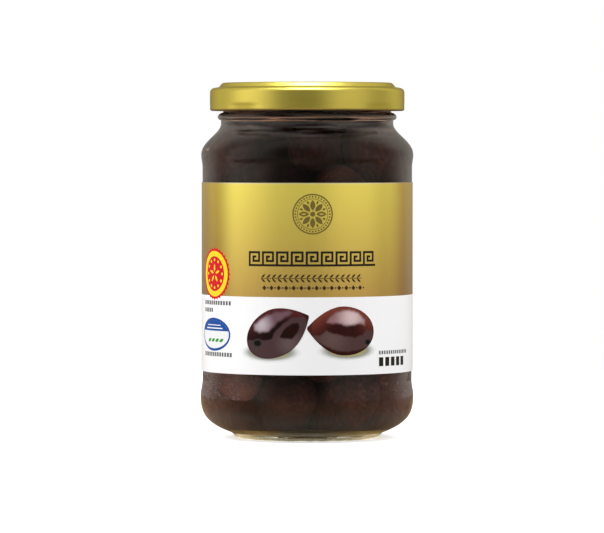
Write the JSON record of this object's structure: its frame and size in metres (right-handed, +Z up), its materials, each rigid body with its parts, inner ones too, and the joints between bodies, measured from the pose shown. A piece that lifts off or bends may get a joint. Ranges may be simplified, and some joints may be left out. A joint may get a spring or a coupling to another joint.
{
  "type": "jar of olives",
  "caption": "Round glass jar with a twist-off metal lid and a wrap-round paper label, packed with whole dark olives in brine.",
  "frame": {"origin": "middle of the foot ring's plane, under the middle of the jar", "axes": "+Z up along the jar's axis, -Y out of the front of the label, +X to the right when the label is read"},
  "size_m": [0.0728, 0.0728, 0.1213],
  "materials": {
    "glass": "clear, smooth",
    "gold_lacquer": "semi-gloss gold lacquer on tinplate",
    "label_paper": "printed, semi-gloss",
    "olive_skin": null
  },
  "bodies": {
    "root": {"jar": "glass", "lid": "gold_lacquer", "label": "label_paper", "olives": "olive_skin"}
  },
  "joints": []
}
